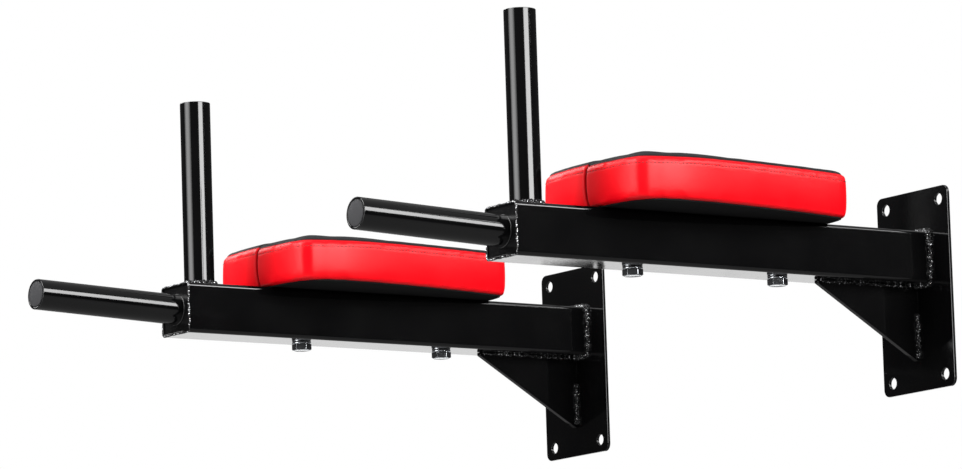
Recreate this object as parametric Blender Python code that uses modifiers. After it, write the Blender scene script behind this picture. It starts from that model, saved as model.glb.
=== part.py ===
"""Wall-held dip station: two welded steel arms of the same make, each on a wall plate of its own.

Each arm is a square tube stiffened by a gusset, with a padded forearm rest bolted on its top,
an upright grip near its free end and a forward grip on the end plate.

Units are metres and +Z is up. The wall is the plane y = 0, and the arms run out from it
towards -Y. The origin lies on the wall, midway between the arms, at the height of the tubes'
centrelines. An arm is modelled in its own frame, with +X out from the wall plate's front
face, +Y across and +Z up, and an empty stands that frame at its place on the wall.
"""

import math

import bmesh
import bpy
from mathutils import Vector
from mathutils.geometry import interpolate_bezier

MM = 0.001

# Where touching pieces meet, this much air stays between them.
SEAM_GAP = 0.3 * MM

# Places of the two arms
ARM_SPACING = 560 * MM
ARM_SIDES = {"left": -1, "right": 1}

# Wall plate, which hangs lower than the tube because the gusset lands on it
PLATE_WIDTH = 107.5 * MM
PLATE_HEIGHT = 193 * MM
PLATE_THICKNESS = 3 * MM
PLATE_CORNER = 7.5 * MM
PLATE_DROP = 30 * MM
WALL_HOLE_ACROSS = 80 * MM
WALL_HOLE_UP = 168 * MM
WALL_HOLE_DIAMETER = 11 * MM

# Square tube of the arm, and the plate that is let into its free end
ARM_REACH = 483 * MM
TUBE_SIDE = 50 * MM
TUBE_WALL = 2.5 * MM
TUBE_CORNER = 4 * MM
END_PLATE_THICKNESS = 3 * MM
END_PLATE_SETBACK = 1.2 * MM

# Gusset in the corner under the tube, which stops short of the rear bolt
GUSSET_BOLT_SPACE = 46 * MM
GUSSET_HEIGHT = 72 * MM
GUSSET_THICKNESS = 5 * MM
GUSSET_NOSE = 3 * MM

# Round grips and the plugs in their open ends
GRIP_DIAMETER = 30 * MM
GRIP_WALL = 2 * MM
GRIP_LIP = 0.6 * MM
UPRIGHT_SETBACK = 29 * MM
UPRIGHT_HEIGHT = 183 * MM
FORWARD_LENGTH = 161 * MM
FORWARD_TILT = math.radians(2.5)
PLUG_DEPTH = 14 * MM
PLUG_DOME = 0.8 * MM

# Forearm rest, widest a little behind its front and narrowing to the back. Each sweep says
# how far its outline runs straight on from a point before it bends away.
HAND_SPACE = 47 * MM
PAD_LENGTH = 282 * MM
PAD_WIDTH = 184 * MM
PAD_WIDEST_SETBACK = 72 * MM
PAD_FRONT_SWEEP = 84 * MM
PAD_CORNER_SWEEP = 58 * MM
PAD_SIDE_SWEEP = 46 * MM
PAD_BACK_WIDTH = 126 * MM
PAD_BACK_CORNER = 22 * MM
PAD_BACK_SWEEP = 50 * MM
PAD_TAPER = 0.25
BAND_HEIGHT = 42 * MM
BAND_BOTTOM_TUCK = 6 * MM
BAND_TOP_TUCK = 3 * MM
CROWN_HEIGHT = 9.5 * MM
STITCH_DROP = 7 * MM
STITCH_DEPTH = 0.9 * MM
STITCH_HALF_WIDTH = 0.8 * MM
JOIN_DEPTH = 1.5 * MM
JOIN_HALF_WIDTH = 1.8 * MM
BOARD_THICKNESS = 12 * MM
BOARD_INSET = 9 * MM

# M10 bolts that hold the pad board, put in from below through both walls of the tube. Each
# place is counted from the pad's own end, and each head has stopped at a turn of its own.
BOLT_INSETS = {"rear": 56 * MM, "front": 57 * MM}
BOLT_TURNS = {"rear": math.radians(-1.5), "front": math.radians(17.5)}
BOLT_DIAMETER = 10 * MM
BOLT_LENGTH = 60 * MM
BOLT_HEAD_FLATS = 17 * MM
BOLT_HEAD_HEIGHT = 7 * MM
BOLT_HEAD_CHAMFER = 0.8 * MM
BOLT_HOLE_DIAMETER = 11 * MM
WASHER_DIAMETER = 19 * MM
WASHER_BORE = 10.8 * MM
WASHER_THICKNESS = 1.6 * MM
WASHER_EDGE = 0.25 * MM
TEE_NUT_FLANGE = 26 * MM
TEE_NUT_FLANGE_THICKNESS = 1.5 * MM
TEE_NUT_BARREL = 13 * MM
TEE_NUT_LENGTH = 10.5 * MM

# Fineness of round shapes
GRIP_STEPS = 40
SMALL_STEPS = 28
CORNER_STEPS = 6
PAD_STEPS = 8

# Heights that several pieces share
TUBE_TOP = TUBE_SIDE / 2
TUBE_BOTTOM = -TUBE_SIDE / 2
PAD_BOTTOM = TUBE_TOP + SEAM_GAP
BAND_TOP = PAD_BOTTOM + BAND_HEIGHT
BOARD_TOP = PAD_BOTTOM + BOARD_THICKNESS

# Places along the arm that several pieces share
END_FACE = ARM_REACH - END_PLATE_SETBACK
UPRIGHT_PLACE = ARM_REACH - UPRIGHT_SETBACK
PAD_FRONT = UPRIGHT_PLACE - GRIP_DIAMETER / 2 - HAND_SPACE
PAD_BACK = PAD_FRONT - PAD_LENGTH
BOLT_PLACES = {
    "rear": PAD_BACK + BOLT_INSETS["rear"],
    "front": PAD_FRONT - BOLT_INSETS["front"],
}
GUSSET_REACH = BOLT_PLACES["rear"] - GUSSET_BOLT_SPACE

# Colours as linear red, green and blue, with a roughness and a metallic value
GLOSS_BLACK_PAINT = ((0.012, 0.012, 0.013), 0.22, 0.0)
RED_VINYL = ((0.80, 0.018, 0.035), 0.45, 0.0)
BLACK_VINYL = ((0.016, 0.016, 0.017), 0.55, 0.0)
BLACK_PLYWOOD = ((0.022, 0.020, 0.019), 0.80, 0.0)
GREY_PLASTIC = ((0.075, 0.075, 0.078), 0.60, 0.0)
BRIGHT_ZINC = ((0.72, 0.72, 0.74), 0.28, 1.0)


def clear_scene():
    for old in list(bpy.data.objects):
        bpy.data.objects.remove(old, do_unlink=True)


def new_collection(name, shown=True):
    collection = bpy.data.collections.new(name)
    bpy.context.scene.collection.children.link(collection)
    collection.hide_render = not shown
    return collection


def finish_of(name, finish):
    """A Principled material of this name."""
    colour, roughness, metallic = finish
    material = bpy.data.materials.new(name)
    material.use_nodes = True
    shader = material.node_tree.nodes["Principled BSDF"]
    shader.inputs["Base Color"].default_value = (*colour, 1.0)
    shader.inputs["Roughness"].default_value = roughness
    shader.inputs["Metallic"].default_value = metallic
    material.diffuse_color = (*colour, 1.0)
    return material


def as_piece(obj, finish, arm, location=(0, 0, 0), rotation=(0, 0, 0)):
    """Gives the object its finish and its place in the arm's frame."""
    obj.data.materials.append(finish_of(obj.name, finish))
    obj.parent = arm
    obj.location = location
    obj.rotation_euler = rotation
    return obj


def mesh_object(name, bm, collection):
    bmesh.ops.recalc_face_normals(bm, faces=bm.faces)
    mesh = bpy.data.meshes.new(name)
    bm.to_mesh(mesh)
    bm.free()
    obj = bpy.data.objects.new(name, mesh)
    collection.objects.link(obj)
    return obj


def as_cutter(obj):
    obj.hide_render = True
    obj.display_type = "WIRE"
    return obj


def combine(obj, other, operation):
    """Cuts the other object out of this one, or joins it on."""
    modifier = obj.modifiers.new(f"{operation.lower()} {other.name}", "BOOLEAN")
    modifier.object = other
    modifier.operation = operation
    modifier.solver = "EXACT"


def circle(radius, centre=(0, 0), steps=SMALL_STEPS):
    """Points round a circle in the plane of an outline."""
    angles = [2 * math.pi * step / steps for step in range(steps)]
    return [
        (centre[0] + radius * math.cos(angle), centre[1] + radius * math.sin(angle))
        for angle in angles
    ]


def rounded_rectangle(length, width, radius):
    """Points round a rectangle with round corners, centred on its own origin."""
    points = []
    for corner, (side_x, side_y) in enumerate([(1, 1), (-1, 1), (-1, -1), (1, -1)]):
        centre_x = side_x * (length / 2 - radius)
        centre_y = side_y * (width / 2 - radius)
        for step in range(CORNER_STEPS + 1):
            angle = (corner + step / CORNER_STEPS) * math.pi / 2
            points.append(
                (centre_x + radius * math.cos(angle), centre_y + radius * math.sin(angle))
            )
    return points


def flat_sheet(name, outlines, thickness, collection):
    """A sheet with the first outline as its edge and the others as holes, made a mesh."""
    curve = bpy.data.curves.new(name, "CURVE")
    curve.dimensions = "2D"
    curve.fill_mode = "BOTH"
    curve.extrude = thickness / 2
    for outline in outlines:
        spline = curve.splines.new("POLY")
        spline.points.add(len(outline) - 1)
        for point, (x, y) in zip(spline.points, outline):
            point.co = (x, y, 0, 1)
        spline.use_cyclic_u = True
    drawn = bpy.data.objects.new(name, curve)
    collection.objects.link(drawn)
    evaluated = drawn.evaluated_get(bpy.context.evaluated_depsgraph_get())
    mesh = bpy.data.meshes.new_from_object(evaluated)
    bpy.data.objects.remove(drawn)
    bpy.data.curves.remove(curve)
    bm = bmesh.new()
    bm.from_mesh(mesh)
    bpy.data.meshes.remove(mesh)
    bmesh.ops.remove_doubles(bm, verts=bm.verts, dist=0.01 * MM)
    return mesh_object(name, bm, collection)


def turned(name, profile, closed, steps, collection):
    """A solid of revolution about Z. The profile runs down its outer side at +X."""
    bm = bmesh.new()
    corners = [bm.verts.new((x, 0, z)) for x, z in profile]
    for first, second in zip(corners, corners[1:]):
        bm.edges.new((first, second))
    if closed:
        bm.edges.new((corners[-1], corners[0]))
    obj = mesh_object(name, bm, collection)
    screw = obj.modifiers.new("turn", "SCREW")
    screw.steps = steps
    screw.render_steps = steps
    screw.use_merge_vertices = True
    screw.merge_threshold = 0.01 * MM
    return obj


def cylinder(name, diameter, bottom, top, collection, sides=SMALL_STEPS):
    """An upright cylinder, or a prism when it has few sides, on the Z axis."""
    bm = bmesh.new()
    bmesh.ops.create_cone(
        bm,
        cap_ends=True,
        segments=sides,
        radius1=diameter / 2,
        radius2=diameter / 2,
        depth=top - bottom,
    )
    bmesh.ops.translate(bm, verts=bm.verts, vec=(0, 0, (top + bottom) / 2))
    return mesh_object(name, bm, collection)


def stacked(name, rings, collection):
    """A closed solid through level rings of the same number of points, from the bottom up."""
    bm = bmesh.new()
    place_in_ring = bm.verts.layers.int.new("place_in_ring")
    for place, point in enumerate(rings[0]):
        bm.verts.new(point)[place_in_ring] = place
    rim = bm.faces.new(bm.verts).edges[:]
    for ring in rings[1:]:
        grown = bmesh.ops.extrude_edge_only(bm, edges=rim)["geom"]
        rim = [part for part in grown if isinstance(part, bmesh.types.BMEdge) and part.is_boundary]
        for vert in {vert for edge in rim for vert in edge.verts}:
            vert.co = ring[vert[place_in_ring]]
    bmesh.ops.edgeloop_fill(bm, edges=rim)
    return mesh_object(name, bm, collection)


def half_pad_outline():
    """Points from the middle of the pad's front round one side to the middle of its back."""
    widest = PAD_FRONT - PAD_WIDEST_SETBACK
    half_width, half_back = PAD_WIDTH / 2, PAD_BACK_WIDTH / 2
    corner = PAD_BACK + PAD_BACK_CORNER
    straight_on = PAD_BACK_CORNER * 0.7
    stretches = [
        (
            (PAD_FRONT, 0),
            (PAD_FRONT, PAD_FRONT_SWEEP),
            (widest + PAD_CORNER_SWEEP, half_width),
            (widest, half_width),
        ),
        (
            (widest, half_width),
            (widest - PAD_SIDE_SWEEP, half_width),
            (corner + PAD_SIDE_SWEEP, half_back + PAD_SIDE_SWEEP * PAD_TAPER),
            (corner, half_back),
        ),
        (
            (corner, half_back),
            (corner - straight_on, half_back - straight_on * PAD_TAPER),
            (PAD_BACK, PAD_BACK_SWEEP),
            (PAD_BACK, 0),
        ),
    ]
    points = [Vector((PAD_FRONT, 0, 0)), Vector((PAD_FRONT, JOIN_HALF_WIDTH, 0))]
    for start, start_sweep, end_sweep, end in stretches:
        knots = [Vector((*place, 0)) for place in (start, start_sweep, end_sweep, end)]
        points += interpolate_bezier(*knots, PAD_STEPS + 1)[1:]
    return points


def pad_outline(grow=0.0, join=0.0):
    """Points round the pad's plan, moved out by grow.

    A join above zero sinks a narrow groove of that depth in the middle of the front, where
    the band is sewn end to end.
    """
    half = half_pad_outline()
    other_half = [Vector((point.x, -point.y, 0)) for point in reversed(half[1:-1])]
    around = half + other_half
    points = []
    for place, point in enumerate(around):
        along = around[(place + 1) % len(around)] - around[place - 1]
        out = Vector((along.y, -along.x, 0)).normalized()
        depth = join if place == 0 else 0.0
        points.append(point + out * (grow - depth))
    return points


def ring_at(height, outline):
    return [(point.x, point.y, height) for point in outline]


def narrowed_ring(height, fraction):
    """The pad's outline drawn in towards its middle, for the crown of the top."""
    middle = Vector(((PAD_BACK + PAD_FRONT) / 2, 0, 0))
    narrowed = [middle.lerp(point, fraction) for point in pad_outline(-BAND_TOP_TUCK)]
    return ring_at(height, narrowed)


def make_wall_plate(side, arm, parts):
    """Flat plate with a screw hole in each corner. Its front face is the arm's x = 0."""
    holes = [
        circle(WALL_HOLE_DIAMETER / 2, (up * WALL_HOLE_UP / 2, across * WALL_HOLE_ACROSS / 2))
        for up in (-1, 1)
        for across in (-1, 1)
    ]
    edge = rounded_rectangle(PLATE_HEIGHT, PLATE_WIDTH, PLATE_CORNER)
    plate = flat_sheet(f"{side}_wall_plate", [edge, *holes], PLATE_THICKNESS, parts)
    middle = (-PLATE_THICKNESS / 2, 0, -PLATE_DROP)
    as_piece(plate, GLOSS_BLACK_PAINT, arm, middle, (0, math.pi / 2, 0))


def make_arm_tube(side, arm, parts, cutters):
    """Square tube from the wall plate to the free end, drilled for the pad bolts."""
    length = ARM_REACH - SEAM_GAP
    bore = TUBE_SIDE - 2 * TUBE_WALL
    outlines = [
        rounded_rectangle(TUBE_SIDE, TUBE_SIDE, TUBE_CORNER),
        rounded_rectangle(bore, bore, TUBE_CORNER - TUBE_WALL),
    ]
    tube = flat_sheet(f"{side}_arm_tube", outlines, length, parts)
    middle = (SEAM_GAP + length / 2, 0, 0)
    as_piece(tube, GLOSS_BLACK_PAINT, arm, middle, (0, math.pi / 2, 0))
    for place, along in BOLT_PLACES.items():
        name = f"{side}_{place}_tube_drill"
        drill = cylinder(name, BOLT_HOLE_DIAMETER, 2 * TUBE_BOTTOM, 2 * TUBE_TOP, cutters)
        drill.parent = arm
        drill.location = (along, 0, 0)
        combine(tube, as_cutter(drill), "DIFFERENCE")


def make_end_plate(side, arm, parts):
    """Square plate welded inside the tube's free end, a little behind its rim."""
    width = TUBE_SIDE - 2 * TUBE_WALL - 2 * SEAM_GAP
    edge = rounded_rectangle(width, width, TUBE_CORNER - TUBE_WALL)
    plate = flat_sheet(f"{side}_end_plate", [edge], END_PLATE_THICKNESS, parts)
    middle = (END_FACE - END_PLATE_THICKNESS / 2, 0, 0)
    as_piece(plate, GLOSS_BLACK_PAINT, arm, middle, (0, math.pi / 2, 0))


def make_gusset(side, arm, parts):
    """Triangular rib on the arm's middle plane, with a blunt nose at each tip."""
    start = SEAM_GAP
    top = TUBE_BOTTOM - SEAM_GAP
    edge = [
        (start, top),
        (start, top - GUSSET_HEIGHT),
        (start + GUSSET_NOSE, top - GUSSET_HEIGHT),
        (GUSSET_REACH, top - GUSSET_NOSE),
        (GUSSET_REACH, top),
    ]
    gusset = flat_sheet(f"{side}_gusset", [edge], GUSSET_THICKNESS, parts)
    as_piece(gusset, GLOSS_BLACK_PAINT, arm, (0, 0, 0), (math.pi / 2, 0, 0))


def grip_tube(name, bottom, top, parts):
    """Round tube along Z with its top edges rounded off."""
    outer = GRIP_DIAMETER / 2
    inner = outer - GRIP_WALL
    profile = [
        (outer - GRIP_LIP, top),
        (outer, top - GRIP_LIP),
        (outer, bottom),
        (inner, bottom),
        (inner, top),
    ]
    return turned(name, profile, True, GRIP_STEPS, parts)


def grip_plug(name, top, parts):
    """Plastic plug in a grip's open end, with its slightly domed face flush with the rim."""
    radius = GRIP_DIAMETER / 2 - GRIP_WALL - SEAM_GAP
    profile = [
        (0, top + PLUG_DOME),
        (radius * 0.6, top + PLUG_DOME * 0.7),
        (radius - PLUG_DOME, top + PLUG_DOME * 0.2),
        (radius, top - PLUG_DOME),
        (radius, top - PLUG_DEPTH),
        (0, top - PLUG_DEPTH),
    ]
    return turned(name, profile, False, GRIP_STEPS, parts)


def make_upright_grip(side, arm, parts):
    """Grip that stands on the tube, and its plug."""
    foot = (UPRIGHT_PLACE, 0, TUBE_TOP)
    grip = grip_tube(f"{side}_upright_grip", SEAM_GAP, UPRIGHT_HEIGHT, parts)
    as_piece(grip, GLOSS_BLACK_PAINT, arm, foot)
    plug = grip_plug(f"{side}_upright_grip_plug", UPRIGHT_HEIGHT, parts)
    as_piece(plug, GREY_PLASTIC, arm, foot)


def make_forward_grip(side, arm, parts, cutters):
    """Grip that runs on from the end plate, tilted up a little, and its plug.

    The tube starts behind the end plate's face and is cut off along it, so that its foot is
    mitred to the tilt.
    """
    foot = (END_FACE, 0, 0)
    turn = (0, math.pi / 2 - FORWARD_TILT, 0)
    grip = grip_tube(f"{side}_forward_grip", -END_PLATE_THICKNESS, FORWARD_LENGTH, parts)
    as_piece(grip, GLOSS_BLACK_PAINT, arm, foot, turn)
    plug = grip_plug(f"{side}_forward_grip_plug", FORWARD_LENGTH, parts)
    as_piece(plug, GREY_PLASTIC, arm, foot, turn)

    bm = bmesh.new()
    bmesh.ops.create_cube(bm, size=TUBE_SIDE)
    trim = mesh_object(f"{side}_forward_trim", bm, cutters)
    trim.parent = arm
    trim.location = (END_FACE + SEAM_GAP - TUBE_SIDE / 2, 0, 0)
    combine(grip, as_cutter(trim), "DIFFERENCE")


def make_pad_band(side, arm, parts, cutters):
    """Sewn side of the pad, with the foam that it holds.

    It is tucked in under the board and at the top seam, a row of stitching sinks a channel
    below that seam, and its underside has a pocket for the board.
    """
    stitch_height = BAND_TOP - STITCH_DROP
    levels = [
        (PAD_BOTTOM, -BAND_BOTTOM_TUCK),
        (PAD_BOTTOM + 0.08 * BAND_HEIGHT, -0.45 * BAND_BOTTOM_TUCK),
        (PAD_BOTTOM + 0.22 * BAND_HEIGHT, -0.12 * BAND_BOTTOM_TUCK),
        (PAD_BOTTOM + 0.48 * BAND_HEIGHT, 0.0),
        (stitch_height - 2 * STITCH_HALF_WIDTH, -0.2 * BAND_TOP_TUCK),
        (stitch_height, -0.2 * BAND_TOP_TUCK - STITCH_DEPTH),
        (stitch_height + 2 * STITCH_HALF_WIDTH, -0.2 * BAND_TOP_TUCK),
        (BAND_TOP - 0.06 * BAND_HEIGHT, -0.5 * BAND_TOP_TUCK),
        (BAND_TOP, -BAND_TOP_TUCK),
    ]
    rings = [ring_at(height, pad_outline(grow, JOIN_DEPTH)) for height, grow in levels]
    band = stacked(f"{side}_pad_band", rings, parts)
    as_piece(band, RED_VINYL, arm)

    pocket_outline = pad_outline(SEAM_GAP - BOARD_INSET)
    pocket_rings = [
        ring_at(height, pocket_outline)
        for height in (PAD_BOTTOM - BOARD_THICKNESS, BOARD_TOP + SEAM_GAP)
    ]
    pocket = stacked(f"{side}_board_pocket", pocket_rings, cutters)
    pocket.parent = arm
    combine(band, as_cutter(pocket), "DIFFERENCE")


def make_pad_top(side, arm, parts):
    """Crowned top of the pad, which the arm rests on, with a full edge over the seam."""
    bottom = BAND_TOP + SEAM_GAP
    edge_levels = [
        (bottom, -BAND_TOP_TUCK),
        (bottom + 0.14 * CROWN_HEIGHT, -0.45 * BAND_TOP_TUCK),
        (bottom + 0.34 * CROWN_HEIGHT, -0.55 * BAND_TOP_TUCK),
    ]
    crown_levels = [
        (0.62, 0.955),
        (0.80, 0.88),
        (0.92, 0.74),
        (0.98, 0.54),
        (1.00, 0.30),
    ]
    rings = [ring_at(height, pad_outline(grow)) for height, grow in edge_levels]
    rings += [
        narrowed_ring(bottom + rise * CROWN_HEIGHT, fraction)
        for rise, fraction in crown_levels
    ]
    as_piece(stacked(f"{side}_pad_top", rings, parts), BLACK_VINYL, arm)


def make_pad_board(side, arm, parts, cutters):
    """Plywood board under the foam, bored from above for the two tee nuts."""
    outline = pad_outline(-BOARD_INSET)
    rings = [ring_at(height, outline) for height in (PAD_BOTTOM, BOARD_TOP)]
    board = stacked(f"{side}_pad_board", rings, parts)
    as_piece(board, BLACK_PLYWOOD, arm)
    for place, along in BOLT_PLACES.items():
        bores = {
            "barrel": (TEE_NUT_BARREL, PAD_BOTTOM - BOARD_THICKNESS),
            "flange": (TEE_NUT_FLANGE, BOARD_TOP - TEE_NUT_FLANGE_THICKNESS - SEAM_GAP),
        }
        for step, (diameter, bottom) in bores.items():
            name = f"{side}_{place}_{step}_drill"
            top = BOARD_TOP + BOARD_THICKNESS
            drill = cylinder(name, diameter + 2 * SEAM_GAP, bottom, top, cutters)
            drill.parent = arm
            drill.location = (along, 0, 0)
            combine(board, as_cutter(drill), "DIFFERENCE")


def make_pad_fixing(side, place, arm, parts, cutters):
    """One bolt with its washer under the tube and its tee nut in the board."""
    middle = (BOLT_PLACES[place], 0, 0)
    washer_bottom = TUBE_BOTTOM - SEAM_GAP - WASHER_THICKNESS
    seat = washer_bottom - SEAM_GAP

    hole, edge = WASHER_BORE / 2, WASHER_DIAMETER / 2
    washer_top = washer_bottom + WASHER_THICKNESS
    washer_profile = [
        (edge - WASHER_EDGE, washer_top),
        (edge, washer_top - WASHER_EDGE),
        (edge, washer_bottom + WASHER_EDGE),
        (edge - WASHER_EDGE, washer_bottom),
        (hole, washer_bottom),
        (hole, washer_top),
    ]
    washer = turned(f"{side}_{place}_washer", washer_profile, True, SMALL_STEPS, parts)
    as_piece(washer, BRIGHT_ZINC, arm, middle)

    across_corners = BOLT_HEAD_FLATS / math.cos(math.pi / 6)
    name = f"{side}_{place}_bolt"
    bolt = cylinder(name, across_corners, seat - BOLT_HEAD_HEIGHT, seat, parts, sides=6)
    as_piece(bolt, BRIGHT_ZINC, arm, middle, (0, 0, BOLT_TURNS[place]))
    chamfer = bolt.modifiers.new("head chamfer", "BEVEL")
    chamfer.width = BOLT_HEAD_CHAMFER
    chamfer.segments = 1
    shank_bottom = seat - BOLT_HEAD_HEIGHT / 2
    shank = cylinder(f"{name}_shank", BOLT_DIAMETER, shank_bottom, seat + BOLT_LENGTH, cutters)
    shank.parent = arm
    shank.location = middle
    combine(bolt, as_cutter(shank), "UNION")

    flange_top = BOARD_TOP
    flange_bottom = flange_top - TEE_NUT_FLANGE_THICKNESS
    barrel_bottom = flange_top - TEE_NUT_LENGTH
    thread = BOLT_DIAMETER / 2 + SEAM_GAP
    nut_profile = [
        (TEE_NUT_FLANGE / 2, flange_top),
        (TEE_NUT_FLANGE / 2, flange_bottom),
        (TEE_NUT_BARREL / 2, flange_bottom),
        (TEE_NUT_BARREL / 2, barrel_bottom),
        (thread, barrel_bottom),
        (thread, flange_top),
    ]
    tee_nut = turned(f"{side}_{place}_tee_nut", nut_profile, True, SMALL_STEPS, parts)
    as_piece(tee_nut, BRIGHT_ZINC, arm, middle)


def make_arm(side, parts, cutters):
    """All the pieces of one arm, on an empty at the middle of its plate's front face."""
    arm = bpy.data.objects.new(f"{side}_arm", None)
    arm.location = (ARM_SIDES[side] * ARM_SPACING / 2, -PLATE_THICKNESS, 0)
    arm.rotation_euler = (0, 0, -math.pi / 2)
    parts.objects.link(arm)
    make_wall_plate(side, arm, parts)
    make_arm_tube(side, arm, parts, cutters)
    make_end_plate(side, arm, parts)
    make_gusset(side, arm, parts)
    make_upright_grip(side, arm, parts)
    make_forward_grip(side, arm, parts, cutters)
    make_pad_band(side, arm, parts, cutters)
    make_pad_top(side, arm, parts)
    make_pad_board(side, arm, parts, cutters)
    for place in BOLT_PLACES:
        make_pad_fixing(side, place, arm, parts, cutters)


def main():
    clear_scene()
    parts = new_collection("dip_station")
    cutters = new_collection("cutters", shown=False)
    for side in ARM_SIDES:
        make_arm(side, parts, cutters)


main()
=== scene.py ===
"""Studio scene of the wall-held dip station.

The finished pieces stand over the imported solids, in the same frame: metres, +Z up, the wall at
y = 0. An arm is worked out in its own frame, with +X out from the wall plate's front face, +Y
across and +Z up, and is then put in its place on the wall.
"""

import math

import bmesh
import bpy
from mathutils import Matrix, Vector, noise
from mathutils.bvhtree import BVHTree
from mathutils.geometry import interpolate_bezier
from mathutils.kdtree import KDTree


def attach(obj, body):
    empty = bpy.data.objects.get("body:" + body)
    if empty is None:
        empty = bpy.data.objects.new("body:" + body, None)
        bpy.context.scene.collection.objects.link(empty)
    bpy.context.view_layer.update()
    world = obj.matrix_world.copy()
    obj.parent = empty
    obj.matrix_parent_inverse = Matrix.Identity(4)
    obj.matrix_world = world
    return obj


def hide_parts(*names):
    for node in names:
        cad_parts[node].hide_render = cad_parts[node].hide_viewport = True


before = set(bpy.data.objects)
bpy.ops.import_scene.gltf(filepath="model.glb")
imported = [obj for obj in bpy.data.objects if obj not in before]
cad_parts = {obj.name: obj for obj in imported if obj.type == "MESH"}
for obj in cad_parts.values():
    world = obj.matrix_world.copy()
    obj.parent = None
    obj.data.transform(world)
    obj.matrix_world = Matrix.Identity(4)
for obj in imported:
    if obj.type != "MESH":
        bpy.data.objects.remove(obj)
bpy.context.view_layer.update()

MM = 0.001

# The arms on the wall, with the same sizes as their solids
ARM_SPACING = 560 * MM
ARM_SIDES = {"left": -1, "right": 1}
SEAM_GAP = 0.3 * MM
PLATE_WIDTH = 107.5 * MM
PLATE_HEIGHT = 193 * MM
PLATE_THICKNESS = 3 * MM
PLATE_CORNER = 7.5 * MM
PLATE_DROP = 30 * MM
WALL_HOLE_ACROSS = 80 * MM
WALL_HOLE_UP = 168 * MM
WALL_HOLE_DIAMETER = 11 * MM
ARM_REACH = 483 * MM
TUBE_SIDE = 50 * MM
TUBE_WALL = 2.5 * MM
TUBE_CORNER = 4 * MM
END_FACE = 481.8 * MM
END_PLATE_THICKNESS = 3 * MM
GUSSET_REACH = 120 * MM
GUSSET_HEIGHT = 72 * MM
GUSSET_THICKNESS = 5 * MM
GUSSET_NOSE = 3 * MM
GRIP_DIAMETER = 30 * MM
GRIP_WALL = 2 * MM
UPRIGHT_PLACE = 454 * MM
UPRIGHT_HEIGHT = 183 * MM
FORWARD_LENGTH = 161 * MM
FORWARD_TILT = math.radians(2.5)
PLUG_DEPTH = 14 * MM
TUBE_TOP = TUBE_SIDE / 2
PAD_FRONT = 392 * MM
PAD_BOTTOM = TUBE_TOP + SEAM_GAP
BAND_HEIGHT = 42 * MM
BAND_TOP = PAD_BOTTOM + BAND_HEIGHT
CROWN_RISE = 5.9 * MM
CROWN_SPAN = 38 * MM
BOLT_PLACES = {"rear": 166 * MM, "front": 335 * MM}
BOLT_TURNS = {"rear": math.radians(-1.5), "front": math.radians(-6)}
BOLT_DIAMETER = 10 * MM
BOLT_LENGTH = 60 * MM
BOLT_HEAD_FLATS = 17 * MM
BOLT_HEAD_HEIGHT = 6.4 * MM
WASHER_DIAMETER = 19 * MM
WASHER_BORE = 10.8 * MM
WASHER_THICKNESS = 1.6 * MM

# Plan of half a pad: where each stretch of its edge starts and ends, and the two places
# between them that its curve bends towards
PAD_STRETCHES = [
    [(392, 0), (392, 30), (390.6, 50), (387, 65)],
    [(387, 65), (384, 77.5), (381.5, 81.3), (368, 84.8)],
    [(368, 84.8), (355, 88.2), (340, 92), (316, 92)],
    [(316, 92), (272, 92), (178, 74.5), (132, 63)],
    [(132, 63), (116.6, 59.15), (110, 50), (110, 0)],
]
PAD_STEPS = 24
EDGE_STEP = 1 * MM

# The foam block: how far it stays inside the finished pad, and its rounded rims
FOAM_INSET = 3.0 * MM
FOAM_LIFT = 0.8 * MM
FOAM_RISE = 0.5 * MM
FOAM_BOTTOM_RIM = 3 * MM
FOAM_TOP_RIM = 3.5 * MM

# The cover: its mesh, how it swells, and its seams, measured round the pad's edge from the
# middle of its front
COVER_GRID = 4 * MM
SWELL_FRAMES = 20
SWELL_REACH = 5 * MM
CORNER_RUN = 90 * MM
JOIN_PLACE = 6 * MM
JOIN_BOW = 2.2 * MM
STITCH_DROP = 7 * MM
STITCH_LINE = BAND_TOP - STITCH_DROP
STITCH_PITCH = 4.2 * MM
STITCH_LENGTH = 2.8 * MM
STITCH_THICKNESS = 0.85 * MM
SEAM_STEP = 1.5 * MM
SEAM_STEP_RUN = 330 * MM

# Vertices nearer to each other, or to a cut, than this become one.
MERGE_REACH = 0.001 * MM
CUT_REACH = 0.02 * MM

# Cut edges and weld beads
CUT_EDGE = 0.35 * MM
WELD_STEP = 0.45 * MM
WELD_SCALE = 1.9 * MM
WELD_DEPTH = 1.2 * MM
PLATE_BEAD = 3.3 * MM
END_BEAD = 0.95 * MM
UPRIGHT_BEAD = 3.2 * MM
FORWARD_BEAD = 0.7 * MM
GUSSET_TOP_BEAD = 2.4 * MM
GUSSET_SIDE_BEAD = 3.0 * MM


# Materials


def linear(hex_colour):
    """An sRGB hex colour as linear red, green, blue and full alpha."""
    channels = [int(hex_colour[place : place + 2], 16) / 255 for place in (1, 3, 5)]
    turned = [c / 12.92 if c <= 0.04045 else ((c + 0.055) / 1.055) ** 2.4 for c in channels]
    return (*turned, 1.0)


def add_node(tree, kind, feeds=None, **settings):
    """A node with its settings, and what feeds each of its sockets."""
    node = tree.nodes.new(kind)
    for name, value in settings.items():
        setattr(node, name, value)
    for socket, source in (feeds or {}).items():
        if isinstance(source, bpy.types.NodeSocket):
            tree.links.new(source, node.inputs[socket])
        else:
            node.inputs[socket].default_value = source
    return node


def cloudy(tree, place, scale, detail):
    """Soft noise from 0 to 1, with as many blots to a metre as its scale."""
    feeds = {"Vector": place, "Scale": scale, "Detail": detail}
    return add_node(tree, "ShaderNodeTexNoise", feeds).outputs["Fac"]


def mixed(tree, share, first, second):
    """A colour on the way from the first to the second."""
    feeds = {"Factor": share, "A": first, "B": second}
    return add_node(tree, "ShaderNodeMix", feeds, data_type="RGBA").outputs[2]


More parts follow.
